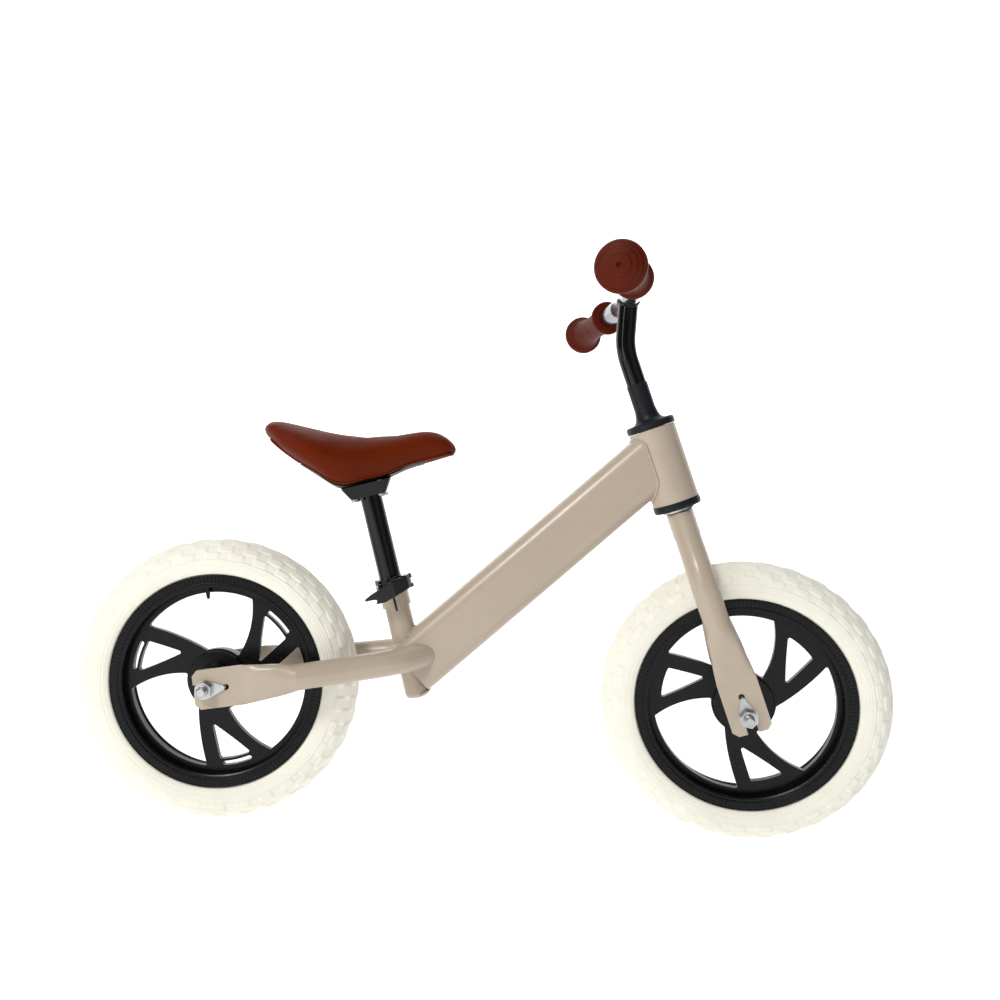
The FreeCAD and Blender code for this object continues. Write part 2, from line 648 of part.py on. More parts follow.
def lever_parts():
    """The cam head straddles the skewer's eye; the arm lies back along the band."""
    pivot = V(PIVOT_X, CLAMP_Y, CLAMP_Z)
    pin = Part.makeCylinder(2.0, 13, pivot - V(0, 0, 6.5), Z)
    node(feature("pin", pin), "lever_pin", SEAT)
    head = Part.makeCylinder(CAM_RADIUS, 13, pivot - V(0, 0, 6.5), Z)
    bow = [V(PIVOT_X + 4.5, CLAMP_Y - 2, 0), V(PIVOT_X + 1, -31, 0), V(4, -32.5, 0), V(-14, -31.8, 0),
           V(-28, -27, 0), V(-28.8, -24.8, 0), V(-14, -28.8, 0), V(2, -29.4, 0), V(13, -28.2, 0),
           V(PIVOT_X - 1, CLAMP_Y - 3, 0)]
    bowed = Part.Face(Part.makePolygon(bow + bow[:1])).extrude(V(0, 0, 30))
    bowed.translate(V(0, 0, CLAMP_Z - 15))
    side_view = [V(6, 0, -6.3), V(-10, 0, -7.2), V(-30, 0, -8), V(-38, 0, -7.8), V(-39.5, 0, -6.2),
                 V(-36, 0, -4.6), V(-34.7, 0, -2.1), V(-38, 0, -0.4), V(-46, 0, 1.6), V(-45.8, 0, 3.6),
                 V(-38, 0, 5.2), V(-24, 0, 6.5), V(6, 0, 6.2)]
    sided = Part.Face(Part.makePolygon(side_view + side_view[:1])).extrude(V(0, 40, 0))
    sided.Placement = FreeCAD.Placement(pivot - V(0, 20, 0), FreeCAD.Rotation(Y, -LEVER_SLOPE))
    body = head.fuse(bowed.common(sided))
    eye_room = Part.makeCylinder(6.4, 5.6, pivot - V(0, 0, 2.8), Z)
    rod_room = Part.makeBox(30, 5.6, 5.6, V(PIVOT_X - 30, CLAMP_Y - 2.8, CLAMP_Z - 2.8))
    body = body.cut(Part.makeCylinder(2.06, 20, pivot - V(0, 0, 10), Z)).cut(eye_room).cut(rod_room)
    node(feature("lever", max(body.Solids, key=lambda solid: solid.Volume)), "clamp_lever", SEAT)


# ---------------------------------------------------------------- seat

SCREW_SPOTS = [(x, y) for x in (-15, 13) for y in (-13, 13)]


def seat_parts():
    post = pipe_along_z("post_shell", "post_radius", "post_radius - post_wall", "-1 * post_inserted",
                        "post_length")
    node(post, "seat_post", SEAT)
    node(feature("bracket", saddle_bracket()), "saddle_bracket", SEAT)
    pad, base = saddle()
    node(feature("saddle_cover", pad), "saddle_pad")
    node(feature("saddle_shell", base), "saddle_base")
    node(feature("screws", saddle_screws()), "saddle_screws", SEAT)


def rounded_rectangle(low_x, high_x, half_y, corner, level):
    corners = [(high_x - corner, half_y - corner, 0), (low_x + corner, half_y - corner, 90),
               (low_x + corner, corner - half_y, 180), (high_x - corner, corner - half_y, 270)]
    arcs = [[V(x, y, level) + polar(corner, begin + step) for step in (0, 45, 90)]
            for x, y, begin in corners]
    edges = []
    for arc, following in zip(arcs, arcs[1:] + arcs[:1]):
        edges += [Part.Arc(*arc).toShape(), Part.LineSegment(arc[2], following[0]).toShape()]
    return Part.Wire(edges)


def saddle_bracket():
    """A pressed steel dish round the post's top, in the seat tube's frame, open towards the saddle."""
    seat, wall, deep = size("saddle_seat"), 2.5, 13
    low = seat - deep
    outside = Part.makeLoft([rounded_rectangle(-19, 17, 18, 5, low),
                             rounded_rectangle(-26.5, 25.5, 24, 7, seat)], True)
    inside = Part.makeLoft([rounded_rectangle(-18, 16, 17, 4, low + wall),
                            rounded_rectangle(-24.5, 23.5, 22, 5, seat + 0.1)], True)
    dish = outside.cut(inside).cut(Part.makeCylinder(size("post_radius"), 40, V(0, 0, low - 10)))
    for x, y in SCREW_SPOTS:
        dish = dish.cut(Part.makeCylinder(2.5, 10, V(x, y, low - 3)))
    return dish


def saddle_screws():
    """Four screws up through the dish into the saddle's base, their heads below the dish."""
    low = size("saddle_seat") - 13
    screws = []
    for x, y in SCREW_SPOTS:
        edge = Part.makeCone(3.4, 4.2, 0.9, V(x, y, low - 2.6))
        head = Part.makeCylinder(4.2, 1.7, V(x, y, low - 1.7))
        shank = Part.makeCylinder(2.5, 18, V(x, y, low))
        socket = Part.makeCylinder(1.5, 1.6, V(x, y, low - 2.7))
        screws.append(edge.fuse(head).fuse(shank).cut(socket))
    return Part.makeCompound(screws)


# Stations along the saddle in the row frame. Each gives x, the top, the bottom and the half width.
SADDLE = [
    (-228.5, 402, 395.5, 15), (-218, 406.3, 384.5, 43), (-203, 404, 371.5, 56),
    (-185, 399.5, 360, 62), (-165, 395.4, 348.2, 60), (-148, 393.3, 340.5, 54),
    (-128, 392.8, 345.4, 46), (-105, 395, 352.5, 37), (-85, 398.6, 362.5, 31),
    (-66, 402.8, 369.3, 27), (-50, 400.6, 375, 24), (-39, 393.5, 378.8, 18), (-33.5, 387.8, 382, 8),
]


def saddle_ring(x, top, bottom, half):
    """A rounded section across the saddle, widest above its middle and flatter below."""
    points = []
    for step in range(14):
        angle = 2 * math.pi * step / 14
        down = ((1 - math.cos(angle)) / 2) ** 1.15
        across = math.copysign(abs(math.sin(angle)) ** 0.8, math.sin(angle))
        points.append(V(x, half * across, top - (top - bottom) * down))
    curve = Part.BSplineCurve()
    curve.interpolate(points, PeriodicFlag=True)
    return Part.Wire(curve.toShape())


def saddle():
    """The pad and the stiff base under it, which lies in the pad's underside."""
    whole = Part.makeLoft([saddle_ring(*station) for station in SADDLE], True)
    below = Part.makeBox(300, 200, 60, V(-150, -100, size("saddle_seat") - 60))
    below.Placement = SEAT
    whole = whole.cut(below)
    plate_stations = [(x, bottom + 5, bottom - 6, 0.66 * half) for x, top, bottom, half in SADDLE[2:-3]]
    plate = Part.makeLoft([saddle_ring(*station) for station in plate_stations], True)
    pad, base = whole.cut(plate), whole.common(plate)
    for x, y in SCREW_SPOTS:
        shank = Part.makeCylinder(2.5, 40, V(x, y, size("saddle_seat") - 20))
        shank.Placement = SEAT
        pad, base = pad.cut(shank), base.cut(shank)
    return pad, max(base.Solids, key=lambda solid: solid.Volume)


# ---------------------------------------------------------------- fork and handlebar

def fork_leg():
    """The left leg in the steering frame: a blade bent in to the crown collar."""
    mid = size("plate_mid")
    points = [V(88, mid - 3.5, 0), V(140, mid - 7.5, 0), V(207, 2, 0)]
    shape = slotted(blade(points, 70, -16, 37, 38))
    shape.Placement = turned(Y, -90)
    above = Part.makeBox(200, 200, 100, V(-100, -100, size("crown_high") - 1))
    collar = Part.makeCylinder(size("crown_radius"), 200, V(0, 0, size("crown_low") - 60))
    shape = shape.cut(above).cut(collar)
    return max(shape.Solids, key=lambda solid: solid.Volume)


def fork_parts():
    left = fork_leg()
    node(feature("leg_left", left), "fork_leg_left", FORK)
    node(feature("leg_right", mirrored(left)), "fork_leg_right", FORK)
    collar = pipe_along_z("collar", "crown_radius", "steerer_radius", "crown_low", "crown_high - crown_low")
    node(collar, "fork_crown", FORK)
    node(pipe_along_z("steerer", "steerer_radius", "steerer_radius - tube_wall", "crown_low",
                      "steerer_top - crown_low"), "steerer_tube", FORK)
    upright = FORK * turned(X, 90)
    bore, low = size("steerer_radius"), size("crown_high")
    high = size("head_low") + size("head_length")
    crown_race = [(bore, low), (16, low), (16, low + 3), (14.2, low + 10.4), (bore, low + 10.4)]
    top_race = [(bore, high - 7.6), (14.4, high - 7.6), (18.4, high - 4.5), (18.4, high - 0.3),
                (bore, high - 0.3)]
    node(revolved("crown_race_body", crown_race), "crown_race", upright)
    node(revolved("top_race_body", top_race), "headset_top_race", upright)


def top_cap():
    """The black cap over the headset, with a long neck round the stem."""
    base = size("head_low") + size("head_length") + 0.3
    edge, neck, stem = size("cap_radius"), size("neck_radius"), size("stem_radius")
    pocket, top, shoulder = size("steerer_radius") + 0.3, size("cap_neck_top"), base + size("cap_height")
    return [(stem, base + 7), (pocket, base + 7), (pocket, base), (edge - 0.8, base), (edge, base + 0.8),
            (edge, shoulder - 1.5), (edge - 1.5, shoulder), (17.5, shoulder + 0.3),
            (14.8, shoulder + 1.2), (12.8, shoulder + 3.4), (11.6, shoulder + 7), (neck, shoulder + 14),
            (neck, top - 0.5), (neck - 0.5, top), (stem, top)]


def bar_path():
    """The crossbar's route: straight in the middle and swept back to both ends."""
    level, ahead, bend = size("bar_height"), size("bar_ahead"), size("bar_bend")
    end = size("grip_end") - 6
    back = ahead - (end - bend) * math.tan(math.radians(size("bar_sweep")))
    return [V(back, -end, level), V(ahead, -bend, level), V(ahead, bend, level), V(back, end, level)]


def swept_tube(points, bend, radius, wall):
    spine = Part.Wire(blade_path(points, bend))
    along = (points[1] - points[0]).normalize()
    rings = [Part.Wire(Part.Circle(points[0], along, ring).toShape()) for ring in (radius, radius - wall)]
    outside, inside = (spine.makePipeShell([ring], True, True) for ring in rings)
    return outside.cut(inside), outside


def handlebar_parts():
    node(revolved("top_cap_body", top_cap()), "top_cap", BAR * turned(X, 90))
    bar, bar_solid = swept_tube(bar_path(), 60, size("bar_radius"), size("bar_wall"))
    node(feature("crossbar_tube", bar), "crossbar", BAR)
    route = [V(0, 0, size("stem_low")), V(0, 0, size("stem_bend")),
             V(size("bar_ahead"), 0, size("bar_height"))]
    stem, _ = swept_tube(route, 70, size("stem_radius"), size("bar_wall"))
    node(feature("stem_tube", stem.cut(bar_solid)), "stem", BAR)
    stem_bolt_parts()
    grips()


def stem_bolt_parts():
    """The bolt up through the steerer, its washer under the crown and the plug it pulls on."""
    low, foot, bolt, thick, head_height = size("stem_low"), size("crown_low"), 4, 2.5, 7
    plug_radius = size("stem_radius") - size("bar_wall")
    plug = [(bolt, low), (plug_radius, low), (plug_radius, low + 18), (bolt, low + 18)]
    node(revolved("plug", plug), "stem_plug", BAR * turned(X, 90))
    washer = [(bolt, foot - thick), (12.5, foot - thick), (12.5, foot), (bolt, foot)]
    node(revolved("foot_washer", washer), "stem_bolt_washer", BAR * turned(X, 90))
    under = foot - thick - head_height
    head = Part.makeCylinder(6.5, head_height, V(0, 0, under))
    socket = Part.Face(Part.makePolygon(hexagon(6) + hexagon(6)[:1])).extrude(V(0, 0, 4))
    socket.translate(V(0, 0, under))
    rod = Part.makeCylinder(bolt, low + 16 - foot + thick, V(0, 0, foot - thick))
    node(feature("bolt", head.fuse(rod).cut(socket)), "stem_bolt", BAR)


def grip_outline():
    """A child's grip: a small flange inside, a slim waist and a mushroom end with stepped rings."""
    bore = size("bar_radius")
    run = (size("grip_end") - size("grip_start")) / math.cos(math.radians(size("bar_sweep")))
    return [(bore, 0), (17.6, 0), (18.5, 1), (18.5, 4.6), (17.6, 5.6), (15.6, 7), (14.4, 11),
            (13.6, 20), (13.3, 38), (13.6, 56), (14.3, 68), (15.6, 76), (18, 81), (20.8, 83.4),
            (21.8, 85), (21.8, run - 8), (20.6, run - 6), (18.8, run - 5.4), (18, run - 3.6),
            (15.2, run - 2.4), (14.2, run - 0.8), (10, run + 0.4), (9.2, run + 1.6), (2.2, run + 2.6),
            (1.8, run + 0.6), (0, run + 0.4), (0, run - 4.5), (bore, run - 4.5)]


def grips():
    ends = bar_path()
    for name, end, corner in (("grip_right", ends[0], ends[1]), ("grip_left", ends[3], ends[2])):
        outward = (end - corner).normalize()
        share = (size("grip_start") - size("bar_bend")) / (abs(end.y) - size("bar_bend"))
        start = corner + (end - corner) * share
        place = FreeCAD.Placement(start, FreeCAD.Rotation(Y, outward))
        node(revolved(name + "_body", grip_outline()), name, BAR * place)


# ---------------------------------------------------------------- everything

wheel("front", FORK, window_edges())
wheel("rear", REAR, window_edges() + [slit_edges()])
axle_set("front", FORK, 90)
axle_set("rear", REAR, size("stay_tilt"))
frame_parts()
clamp_parts()
seat_parts()
fork_parts()
handlebar_parts()

doc.recompute()
for obj in doc.Objects:
    if "Invalid" in obj.State or "Error" in obj.State:
        raise RuntimeError(f"{obj.Name} failed: {obj.State}")
os.makedirs("parts", exist_ok=True)
for name, obj in nodes.items():
    if obj.Shape.isNull() or not obj.Shape.isValid():
        raise RuntimeError(f"{name} has no valid shape")
    obj.Shape.exportStep(f"parts/{name}.step")
print(f"{len(nodes)} sub-parts written")
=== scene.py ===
import json
import math

import bpy
from mathutils import Matrix, Vector

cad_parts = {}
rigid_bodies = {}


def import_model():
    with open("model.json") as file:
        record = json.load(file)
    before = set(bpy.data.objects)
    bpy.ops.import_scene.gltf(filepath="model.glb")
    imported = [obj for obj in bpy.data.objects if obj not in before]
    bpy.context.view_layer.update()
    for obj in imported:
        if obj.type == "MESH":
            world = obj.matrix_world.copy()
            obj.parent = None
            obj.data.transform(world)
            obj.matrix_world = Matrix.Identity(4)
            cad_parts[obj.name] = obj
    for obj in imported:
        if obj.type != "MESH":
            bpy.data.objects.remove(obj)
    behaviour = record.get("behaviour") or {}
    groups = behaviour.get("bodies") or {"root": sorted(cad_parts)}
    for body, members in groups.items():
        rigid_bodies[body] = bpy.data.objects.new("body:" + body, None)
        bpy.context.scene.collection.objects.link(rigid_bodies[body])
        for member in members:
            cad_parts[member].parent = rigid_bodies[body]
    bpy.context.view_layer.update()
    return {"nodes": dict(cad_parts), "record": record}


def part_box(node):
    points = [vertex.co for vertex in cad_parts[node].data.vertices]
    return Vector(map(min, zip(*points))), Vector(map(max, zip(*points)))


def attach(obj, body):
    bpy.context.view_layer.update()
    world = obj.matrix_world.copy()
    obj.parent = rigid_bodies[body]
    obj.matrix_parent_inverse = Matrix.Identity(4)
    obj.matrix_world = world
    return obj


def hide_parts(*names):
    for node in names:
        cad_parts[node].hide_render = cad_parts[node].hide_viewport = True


# Looks for the balance bike: camera, light, materials, treaded tyres, ribbed rims, weld beads, axle
# threads and a soft saddle. Lengths on the bike are in millimetres, and MM turns them into metres. The
# lamps, the floor, the backdrop, RELIEF_DEPTH, PAD_VOXEL and PAD_SWELL are in metres.

MM = 0.001

for thing in list(bpy.data.objects):
    bpy.data.objects.remove(thing)
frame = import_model()
NODES = frame["nodes"]


def turned(axis, degrees):
    return Matrix.Rotation(math.radians(degrees), 4, axis)


def moved(x, y, z):
    return Matrix.Translation(Vector((x, y, z)) * MM)


def leaning_back(degrees):
    """The direction of a tube that stands up and leans to the rear."""
    return Vector((-math.sin(math.radians(degrees)), 0, math.cos(math.radians(degrees))))


# ---------------------------------------------------------------- the bike's main places

WHEEL_RADIUS = 142.5
HALF_WHEELBASE = 267
HEAD_LEAN = 21
FORK_TURN = -11.5
BAR_TURN = -2.7
SEAT_LEAN = 15.7
SEAT_TUBE_FOOT = (-96.8, 0, 252.9)
SEAT_TUBE_RADIUS = 13.0
HEAD_TUBE_RADIUS = 23.9

STEER = moved(HALF_WHEELBASE, 0, WHEEL_RADIUS) @ turned("Y", -HEAD_LEAN)
FORK = STEER @ turned("Z", FORK_TURN)
BAR = STEER @ turned("Z", BAR_TURN)
REAR = moved(-HALF_WHEELBASE, 0, WHEEL_RADIUS)

# The main tube's slope, its axis' distance from the origin, and its rounded section.
MAIN_TILT = math.radians(42.9)
MAIN_OFFSET = 167.4
MAIN_HALF_WIDTH = 19.0
MAIN_HALF_DEPTH = 28.75
MAIN_CORNER = 14.0
CORNER_STEPS = 18


# ---------------------------------------------------------------- camera, light, floor

CAMERA_PLACE = (-24.4, -960.3, 346.7)
CAMERA_YAW = 0.865
CAMERA_PITCH = -1.065
CAMERA_ROLL = -2.317
CAMERA_LENS = 33.91
CAMERA_SENSOR = 36
CAMERA_SHIFT_X = 0.0502
CAMERA_SHIFT_Y = 0.0051
WORLD_LIGHT = 0.16
FLOOR_Z = -0.0005
FLOOR_REACH = 9
BACKDROP_Y = 6
BACKDROP_REACH = 14


def add_camera():
    data = bpy.data.cameras.new("camera")
    camera = bpy.data.objects.new("camera", data)
    bpy.context.scene.collection.objects.link(camera)
    data.lens = CAMERA_LENS
    data.sensor_width = CAMERA_SENSOR
    data.shift_x = CAMERA_SHIFT_X
    data.shift_y = CAMERA_SHIFT_Y
    facing = (turned("Z", CAMERA_YAW) @ turned("X", CAMERA_PITCH) @ turned("Y", CAMERA_ROLL)).to_3x3()
    right, forward, up = facing.col[0], facing.col[1], facing.col[2]
    turn = Matrix((right, up, -forward)).transposed()
    camera.matrix_world = moved(*CAMERA_PLACE) @ turn.to_4x4()
    bpy.context.scene.camera = camera


def add_light(name, position, target, size, power, colour=(1, 1, 1), height=None):
    data = bpy.data.lights.new(name, "AREA")
    data.shape = "RECTANGLE"
    data.energy = power
    data.color = colour
    data.size = size
    data.size_y = height or size
    lamp = bpy.data.objects.new(name, data)
    lamp.location = position
    lamp.rotation_euler = (Vector(target) - Vector(position)).to_track_quat("-Z", "Y").to_euler()
    bpy.context.scene.collection.objects.link(lamp)


def add_studio():
    add_light("key", (-1.5, -2.1, 2.3), target=(0, 0, 0.25), size=0.8, power=54, colour=(1, 0.985, 0.96))
    add_light("fill", (2.2, -2.6, 0.9), target=(0, 0, 0.25), size=2.2, power=5, colour=(0.96, 0.98, 1))
    add_light("strip", (-1.4, -1.3, 0.75), target=(0, 0, 0.35), size=0.06, power=5, height=1.3)
    add_light("overhead", (0.0, 0.5, 3.2), target=(0, 0, 0), size=2.6, power=26)
    world = bpy.data.worlds.new("world")
    world.use_nodes = True
    sky = world.node_tree.nodes["Background"]
    sky.inputs["Color"].default_value = (1, 1, 1, 1)
    sky.inputs["Strength"].default_value = WORLD_LIGHT
    bpy.context.scene.world = world
    bpy.context.scene.view_settings.view_transform = "Standard"


def plane(name, corners, material):
    mesh = bpy.data.meshes.new(name)
    mesh.from_pydata(corners, [], [tuple(range(len(corners)))])
    mesh.materials.append(material)
    made = bpy.data.objects.new(name, mesh)
    bpy.context.scene.collection.objects.link(made)


def glowing_paper(name, glow):
    """Matt white paper that also gives off a little light, so that it stays white."""
    paper = surface(name, (0.9, 0.9, 0.9), rough=0.9, tint=0.01, bump=0.02, fine=60)
    shader = paper.node_tree.nodes["Principled BSDF"]
    shader.inputs["Specular IOR Level"].default_value = 0
    shader.inputs["Emission Color"].default_value = (1, 1, 1, 1)
    shader.inputs["Emission Strength"].default_value = glow
    return paper


def add_stage():
    """A pale floor, and a bright paper backdrop far behind it."""
    floor = [(-FLOOR_REACH, -FLOOR_REACH, FLOOR_Z), (FLOOR_REACH, -FLOOR_REACH, FLOOR_Z),
             (FLOOR_REACH, BACKDROP_Y, FLOOR_Z), (-FLOOR_REACH, BACKDROP_Y, FLOOR_Z)]
    backdrop = [(-BACKDROP_REACH, BACKDROP_Y, -1), (BACKDROP_REACH, BACKDROP_Y, -1),
                (BACKDROP_REACH, BACKDROP_Y, 9), (-BACKDROP_REACH, BACKDROP_Y, 9)]
    plane("floor", floor, glowing_paper("floor_paper", 0.5))
    plane("backdrop", backdrop, glowing_paper("backdrop_paper", 1.0))


# ---------------------------------------------------------------- materials

RELIEF_DEPTH = 0.0002
GLOSS_DRIFT = 0.12
DRIFT_LOW = 0.3
DRIFT_HIGH = 0.7


def noise(tree, place, scale, detail=3.0):
    made = tree.nodes.new("ShaderNodeTexNoise")
    made.inputs["Scale"].default_value = scale
    made.inputs["Detail"].default_value = detail
    tree.links.new(place, made.inputs["Vector"])
    return made.outputs["Fac"]


def drifting_colour(tree, place, colour, tint, coarse):
    """The colour in soft patches, a share of tint darker and lighter."""
    ramp = tree.nodes.new("ShaderNodeValToRGB")
    stops = ramp.color_ramp.elements
    stops[0].position = DRIFT_LOW
    stops[1].position = DRIFT_HIGH
    for stop, share in zip(stops, (1 - tint, 1 + tint)):
        stop.color = [min(1.0, part * share) for part in colour] + [1]
    tree.links.new(noise(tree, place, coarse), ramp.inputs["Fac"])
    return ramp.outputs["Color"]


def drifting_gloss(tree, place, rough, coarse):
    """The roughness in patches four times as fine as the colour's."""
    gloss = tree.nodes.new("ShaderNodeMapRange")
    gloss.inputs["From Min"].default_value = DRIFT_LOW
    gloss.inputs["From Max"].default_value = DRIFT_HIGH
    gloss.inputs["To Min"].default_value = rough * (1 - GLOSS_DRIFT)
    gloss.inputs["To Max"].default_value = min(1.0, rough * (1 + GLOSS_DRIFT))
    tree.links.new(noise(tree, place, coarse * 4), gloss.inputs["Value"])
    return gloss.outputs["Result"]


def fine_relief(tree, place, bump, fine, cells):
    """A fine grain on the surface: noise, or leather cells where cells gives their scale."""
    relief = tree.nodes.new("ShaderNodeBump")
    relief.inputs["Strength"].default_value = bump
    relief.inputs["Distance"].default_value = RELIEF_DEPTH
    if cells:
        grain = tree.nodes.new("ShaderNodeTexVoronoi")
        grain.feature = "DISTANCE_TO_EDGE"
        grain.inputs["Scale"].default_value = cells
        tree.links.new(place, grain.inputs["Vector"])
        height = grain.outputs["Distance"]
    else:
        height = noise(tree, place, fine, 4.0)
    tree.links.new(height, relief.inputs["Height"])
    return relief.outputs["Normal"]


def surface(name, colour, rough, tint, bump, metal=0.0, coarse=30, fine=900, coat=0.0, coat_rough=0.1,
            cells=0, stretch=(1, 1, 1), spec=0.5):
    """A procedural finish: slow drift of colour and gloss, and a fine relief from noise or cells."""
    material = bpy.data.materials.new(name)
    material.use_nodes = True
    tree = material.node_tree
    shader = tree.nodes["Principled BSDF"]
    shader.inputs["Metallic"].default_value = metal
    shader.inputs["Specular IOR Level"].default_value = spec
    shader.inputs["Coat Weight"].default_value = coat
    shader.inputs["Coat Roughness"].default_value = coat_rough
    source = tree.nodes.new("ShaderNodeTexCoord")
    scaled = tree.nodes.new("ShaderNodeMapping")
    scaled.inputs["Scale"].default_value = stretch
    tree.links.new(source.outputs["Object"], scaled.inputs["Vector"])
    place = scaled.outputs["Vector"]
    tree.links.new(drifting_colour(tree, place, colour, tint, coarse), shader.inputs["Base Color"])
    tree.links.new(drifting_gloss(tree, place, rough, coarse), shader.inputs["Roughness"])
    tree.links.new(fine_relief(tree, place, bump, fine, cells), shader.inputs["Normal"])
    return material


def make_finishes():
    return {
        "frame_paint": surface("frame_paint", (0.43, 0.355, 0.275), rough=0.38, coat=0.3, coat_rough=0.2,
                               tint=0.03, bump=0.12, fine=420),
        "wheel_plastic": surface("wheel_plastic", (0.003, 0.0034, 0.0042), rough=0.27, tint=0.15, bump=0.2,
                                 fine=1100, spec=0.2),
        "tyre_foam": surface("tyre_foam", (0.83, 0.815, 0.72), rough=0.75, tint=0.025, bump=0.35, fine=1500,
                             spec=0.25),
        "zinc_steel": surface("zinc_steel", (0.46, 0.465, 0.47), rough=0.3, metal=1.0, tint=0.1, bump=0.3,
                              fine=700, stretch=(1, 0.25, 1)),
        "black_plastic": surface("black_plastic", (0.005, 0.0065, 0.009), rough=0.42, tint=0.1, bump=0.25,
                                 fine=1600, spec=0.22),
        "black_gloss": surface("black_gloss", (0.0015, 0.0015, 0.0018), rough=0.13, coat=0.15,
                               coat_rough=0.06, tint=0.1, bump=0.05, fine=350, spec=0.22),
        "chrome_bar": surface("chrome_bar", (0.36, 0.37, 0.39), rough=0.16, metal=1.0, tint=0.03, bump=0.04,
                              fine=300),
        "grip_rubber": surface("grip_rubber", (0.082, 0.0085, 0.0016), rough=0.5, tint=0.08, bump=0.4,
                               fine=1300, spec=0.1),
        "saddle_cover": surface("saddle_cover", (0.108, 0.0115, 0.0006), rough=0.5, tint=0.07, bump=0.3,
                                cells=900, coarse=18, spec=0.07),
    }


# ---------------------------------------------------------------- meshes

def piece(name, points, faces, place, body, slot):
    """A smooth mesh from points in millimetres, in a place, riding on a body."""
    mesh = bpy.data.meshes.new(name)
    mesh.from_pydata([place @ (Vector(point) * MM) for point in points], [], faces)
    mesh.materials.append(FINISHES[slot])
    mesh.polygons.foreach_set("use_smooth", [True] * len(mesh.polygons))
    mesh.update()
    made = bpy.data.objects.new(name, mesh)
    bpy.context.scene.collection.objects.link(made)
    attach(made, body)
    return made


def grid_faces(rows, columns):
    """Quads over a grid that closes on itself both ways."""
    faces = []
    for row in range(rows):
        below = (row + 1) % rows
        for column in range(columns):
            beside = (column + 1) % columns
            faces.append((row * columns + column, row * columns + beside,
                          below * columns + beside, below * columns + column))
    return faces


def round_angles(count):
    return [2 * math.pi * step / count for step in range(count)]


def on_wheel(radius, degrees, y):
    """A point at a radius, an angle and a distance from the wheel's middle plane."""
    angle = math.radians(degrees)
    return (radius * math.cos(angle), y, radius * math.sin(angle))


def rise(value, low, high, ramp):
    """1 between low and high, falling smoothly to 0 over ramp at each side."""
    share = min((value - low) / ramp, (high - value) / ramp)
    share = max(0.0, min(1.0, share + 0.5))
    return share * share * (3 - 2 * share)


def curve_point(a, b, c, d, t):
    """A point between b and c on the smooth curve through four points, with t from 0 to 1."""
    return tuple(0.5 * (2 * q + (r - p) * t + (2 * p - 5 * q + 4 * r - s) * t * t
                        + (3 * q - p - 3 * r + s) * t ** 3)
                 for p, q, r, s in zip(a, b, c, d))


# ---------------------------------------------------------------- tyres

# Half of the tyre's section from the crown outwards, then its seat in the rim, as radius and y.
TYRE_HALF = [(WHEEL_RADIUS, 0), (141.9, 4.2), (140.4, 8.6), (137.6, 13.2), (133.4, 17.8), (128.2, 21.3),
             (122.6, 23.2), (117.0, 23.8), (112.4, 23.1), (108.6, 21.6)]
TYRE_SEAT = [(107.7, 19.4), (104.0, 18.2), (100.4, 17.6), (100.4, 8.0)]
SECTION_MIDDLE = 118.0
SECTION_SAMPLES = 64
CURVE_STEPS = 24

# A run is the length along the section from the crown's middle. Each row of blocks is given by the
# runs where it begins and ends, and by its shift round the wheel in block pitches.
BLOCK_ROWS = [(-5.2, 5.2, 0.0), (6.4, 14.0, 0.5), (15.2, 23.2, 0.0), (24.4, 31.6, 0.5)]
BLOCKS_ROUND = 32
STEPS_PER_BLOCK = 20
BLOCK_DEPTH = 1.0
BLOCK_WALL = 0.8
BLOCK_MARGIN = 0.6
BLOCK_START = 0.14
BLOCK_END = 0.70
BLOCK_END_WALL = 0.05
TREAD_START = -9
TREAD_END = 32.4
TREAD_FADE = 1.5
LAST_TREAD_RUN = 33
PAST_TREAD = 99.0

# Shallow moulded grooves round the side wall.
SIDE_GROOVES = [34.6, 37.4, 40.2]
GROOVE_WIDTH = 1.3
GROOVE_WALL = 0.6
GROOVE_DEPTH = 0.45


def spline(points, samples):
    """Evenly spaced points of a smooth curve through the given ones, each with its run from the start."""
    fine = []
    padded = [points[0]] + points + [points[-1]]
    for a, b, c, d in zip(padded, padded[1:], padded[2:], padded[3:]):
        for step in range(CURVE_STEPS):
            fine.append(curve_point(a, b, c, d, step / CURVE_STEPS))
    fine.append(points[-1])
    runs = [0.0]
    for one, other in zip(fine, fine[1:]):
        runs.append(runs[-1] + math.dist(one, other))
    found = []
    place = 0
    for step in range(samples):
        target = runs[-1] * step / (samples - 1)
        while place < len(runs) - 2 and runs[place + 1] < target:
            place += 1
        share = (target - runs[place]) / (runs[place + 1] - runs[place])
        point = [a + (b - a) * share for a, b in zip(fine[place], fine[place + 1])]
        found.append((point[0], point[1], target))
    return found


def tread_height(run, turn):
    """The share of a block's height at a run and a turn in block pitches."""
    for low, high, shift in BLOCK_ROWS:
        if low - BLOCK_MARGIN < run < high + BLOCK_MARGIN:
            across = rise(run, low, high, BLOCK_WALL)
            return across * rise((turn + shift) % 1.0, BLOCK_START, BLOCK_END, BLOCK_END_WALL)
    return 0.0


def sunk_depth(run, turn):
    """How far the surface lies under the tyre's outline at a run and a turn in block pitches."""
    depth = sum(GROOVE_DEPTH * rise(run, low, low + GROOVE_WIDTH, GROOVE_WALL) for low in SIDE_GROOVES)
    if run < LAST_TREAD_RUN:
        gap = 1 - tread_height(run, turn)
        depth += BLOCK_DEPTH * gap * rise(run, TREAD_START, TREAD_END, TREAD_FADE)
    return depth


